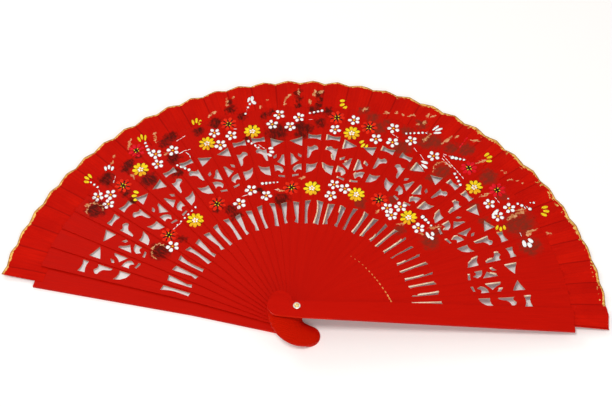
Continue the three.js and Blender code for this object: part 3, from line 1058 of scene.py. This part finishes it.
def line(x1, y1, x2, y2, paint="white", width=0.24):
    """A hair-thin mark that breaks up now and then."""
    first, last = in_photo(x1, y1), in_photo(x2, y2)
    way = last - first
    heading, count = math.atan2(way.y, way.x), max(1, round(way.length / 4))
    for i in range(count):
        place = first.lerp(last, (i + brush.uniform(0.4, 0.6)) / count)
        long = way.length / count * brush.uniform(0.36, 0.52)
        dab(place, long, width * brush.uniform(0.8, 1.2), heading, paint, 0.02, 0.03)


def dotted(places, dots=3):
    """Fine copper dots along the lines from place to place, which get larger."""
    for part, (start, end) in enumerate(zip(places, places[1:])):
        start, end = in_photo(*start), in_photo(*end)
        way = end - start
        for i in range(dots):
            size = 0.3 + 0.16 * (part + i / dots)
            place = start.lerp(end, (i + 0.5) / dots)
            dab(place, 1.5 * size, 0.65 * size, math.atan2(way.y, way.x), "copper", 0.02, 0.02)


# The flowers' middles, and the paint of a red flower that isn't plain red.
WHITE_FLOWERS = [
    (98, 196.5), (110.6, 194.6), (108.5, 204), (155.7, 154), (157.8, 164), (172.8, 150.5),
    (214.4, 132.8), (231.3, 135.5), (220.4, 144.8), (272.3, 124.3), (279.3, 114.5),
    (290.2, 126.3), (299, 117.3), (335.3, 129.4), (354.1, 120.1), (376, 138.9), (393.6, 128.4),
    (392.5, 142.3), (411.3, 140.7), (433.6, 156), (489.4, 203.8), (509.3, 208), (498, 216.2),
    (172.5, 246.4), (239.6, 203.6), (251.2, 190), (266.2, 195.6), (334, 184.5), (330.8, 195.6),
    (345, 188.6), (387.3, 208), (391.6, 215.2), (400.6, 206.8), (418.5, 228),
]
DAISIES = [
    (140.6, 169.4), (207, 143.5), (252.3, 131.2), (351.8, 133.2), (474.2, 187.2),
    (195.2, 220.2), (311.9, 188.1), (356.3, 194.4), (408.5, 217.5),
]
RED_FLOWERS = [
    (123.2, 185.5), (228.7, 124), (337, 117.5), (369.3, 127.3), (468.9, 168, "crimson"),
    (497.2, 190, "crimson"), (168.8, 235), (217.3, 203.8), (291.5, 187.5), (379, 199.7),
    (136.5, 150.6, "crimson"),
]
# Buds: the middle, the heading in degrees, a petal's length and width, a paint if not yellow.
BUDS = [
    (87.5, 178.5, 150, 5.5, 2.6), (142, 137.8, 105, 5.6, 2.4), (135.2, 195.8, 180, 5.8, 2.8),
    (196.5, 121.5, 90, 5.4, 2.6), (343, 104.5, 200, 5.2, 2.8), (363.5, 144.8, 225, 5.2, 2.6),
    (488.7, 157.5, 20, 6, 2.6), (545.3, 211, -6, 6.6, 2.8), (500.8, 228.2, 270, 4.8, 2.8),
    (109, 167.8, 90, 4.6, 2.6, "white"), (271, 151.7, -10, 5.2, 2.6, "white"),
    (437.7, 130, 20, 8, 2, "white"), (423.5, 165.7, -35, 7.5, 2.6, "white"),
]
# Single white petals: the middle, the length, the width, the heading.
PETALS = [
    (248.7, 99.8, 5.2, 2.2, 72), (252, 98.8, 5.2, 3.4, 84), (253.6, 102.4, 5.4, 3, -35),
    (249.8, 104, 2.4, 2, 0), (524.3, 243.6, 7.2, 4, -72), (529.6, 244.8, 5.8, 4.2, -60),
    (530.6, 240.6, 6.4, 3.4, -42), (495.2, 212.6, 9.2, 3.2, 45), (427.8, 235, 7, 3, -62),
    (432.6, 233.8, 4.4, 3.2, -70), (431.8, 238, 4.6, 3, -40), (533.8, 202.7, 2.2, 2, 0),
    (530.3, 202.7, 1.4, 1.2, 0), (508.2, 198.6, 1.8, 1.2, 0), (181.3, 152.6, 5.6, 0.7, 28),
    (187.6, 153.6, 5, 0.7, -38), (190, 156.4, 2.6, 0.8, -70),
]
# From x, y, to x, y, how many dots, the first and the last dot's size in mm.
TRAILS = [
    (91, 182.4, 97.5, 187, 3, 0.9, 1.2), (145.3, 143, 149.5, 153, 4, 1, 1.6),
    (177.3, 165.3, 189, 169.8, 4, 1.1, 1.3), (248, 107.5, 245.5, 113.7, 3, 1.1, 1.1),
    (248.4, 141.2, 258.7, 147.4, 4, 1.3, 0.8), (310, 113, 322, 110.7, 4, 1, 1.2),
    (406.3, 133.5, 426.7, 132.6, 6, 1, 1.2), (452.5, 157.5, 464, 159.8, 4, 1.7, 1),
    (454.8, 173.8, 460.3, 184.8, 4, 1.1, 1.2), (517.8, 203.8, 530, 209, 4, 1.1, 1.6),
    (195.5, 207.3, 177.5, 225, 6, 1, 0.8), (262.5, 183.5, 277.5, 182.2, 5, 1.4, 0.7),
    (422.7, 217, 431.2, 225.5, 4, 1.7, 0.9),
]
# Hair-thin marks: from x, y, to x, y, and the paint and half-width of one that isn't white.
HAIRLINES = [
    (185.6, 135.6, 175.6, 141.7), (191.7, 148.9, 182.8, 151.1), (99, 190, 101.7, 201),
    (115.6, 175.6, 113.3, 183.3), (258.3, 144.4, 265, 148.9), (254, 145.6, 258, 148.3),
    (308.3, 119.4, 312.8, 119.4), (231.7, 129, 238.3, 129), (392.2, 134, 398.3, 137.8),
    (414, 147.8, 417.2, 152.2), (419.4, 153.3, 424, 160), (442.8, 153.9, 452.8, 157.2),
    (442.8, 155, 464, 179), (441.7, 157.8, 451.7, 168.3), (494.4, 196.7, 499.4, 202.8),
    (519.4, 231, 521.7, 236.7), (273.8, 189.4, 280, 190), (242.5, 196.3, 248.8, 194.4),
    (172.5, 230, 181.3, 222.5), (467.8, 136.7, 459.4, 147.8, "crimson", 0.7),
]
# A faint dotted arc on the right ribs, below their lower row of openings.
DOTTED_ARC = [(349, 255), (361, 263), (371, 273), (378.5, 282), (387, 294), (392, 303)]

for draw, rows in [
    (line, HAIRLINES), (dotted, [[DOTTED_ARC]]), (red_flower, RED_FLOWERS), (daisy, DAISIES),
    (white_flower, WHITE_FLOWERS), (bud, BUDS), (petal, PETALS), (trail, TRAILS),
]:
    for values in rows:
        draw(*values)
for canvas in canvases[WORN_RIBS]:
    canvas.bare_edges()
for canvas in canvases:
    if canvas.faces:
        canvas.finish()


# ---------------- floor, lights, world
FLOOR_SIZE, FLOOR_DROP = 6, 0.0002  # metres from its middle to each side, and below zero
FLOOR_GLOW = 0.09
FLOOR_GLOWS_OVER = (0.6, 2.2)  # metres from the rivet over which the glow grows to white
WORLD_LIGHT = 0.39


def seen(graph):
    """1 for what the camera sees, also in a reflection or through glass, and 0 for light."""
    rays = graph.node("LightPath").outputs
    direct = graph.math("ADD", rays["Is Camera Ray"], rays["Is Glossy Ray"])
    return graph.math("ADD", direct, rays["Is Transmission Ray"], clamp=True)


def make_floor():
    graph = Graph("floor_paper")
    fine = graph.noise(graph.place(), 900, 3)
    paper = graph.mix(graph.fade(fine, 0.3, 0.7), (0.96, 0.93, 0.90), (0.98, 0.945, 0.915))
    diffuse = graph.node("BsdfDiffuse", {"Color": paper})
    far = graph.vector("LENGTH", graph.place())
    glow = graph.product(seen(graph), graph.fade(far, *FLOOR_GLOWS_OVER, FLOOR_GLOW, 1))
    glow = graph.node("Emission", {"Color": (1, 1, 1), "Strength": glow})
    both = graph.node("AddShader", (diffuse.outputs[0], glow.outputs[0]))
    graph.node("OutputMaterial", [both.outputs[0]])
    mesh = bpy.data.meshes.new("floor")
    corners = [(-1, -1, 0), (1, -1, 0), (1, 1, 0), (-1, 1, 0)]
    mesh.from_pydata([Vector(c) * FLOOR_SIZE for c in corners], [], [(0, 1, 2, 3)])
    mesh.materials.append(graph.owner)
    floor = add_object("floor", mesh)
    floor.location.z = -FLOOR_DROP
    floor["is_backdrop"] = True


def make_lamp(name, place, aim, size, power):
    data = bpy.data.lights.new(name, "AREA")
    data.shape, data.size, data.energy = "DISK", size, power
    lamp = add_object(name, data)
    lamp.location = place
    lamp.rotation_euler = (Vector(aim) - Vector(place)).to_track_quat("-Z", "Y").to_euler()


def make_world():
    graph = Graph("studio", "worlds")
    bpy.context.scene.world = graph.owner
    values = {"Value": seen(graph), "To Min": WORLD_LIGHT, "To Max": 1}
    strength = graph.node("MapRange", values).outputs[0]
    background = graph.node("Background", {"Color": (1, 1, 1), "Strength": strength})
    graph.node("OutputWorld", [background.outputs[0]])


make_floor()
make_lamp("key", (-0.1, -0.5, 1.6), (0, 0.1, 0), 0.35, 12.5)
make_lamp("back", (-0.8, 0.8, 0.9), (0, 0.1, 0), 0.7, 4)
make_lamp("right", (1.0, 0.1, 1.3), (0, 0.1, 0), 1.4, 2.2)
make_lamp("front", (0.5, -1.2, 0.9), (0.1, 0.0, 0), 0.8, 4.5)
make_world()

bpy.context.scene.view_settings.view_transform = "Standard"

boxes = {"cad": cad_bounds, "visual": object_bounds()}
{name: [list(corner) for corner in box] for name, box in boxes.items()}
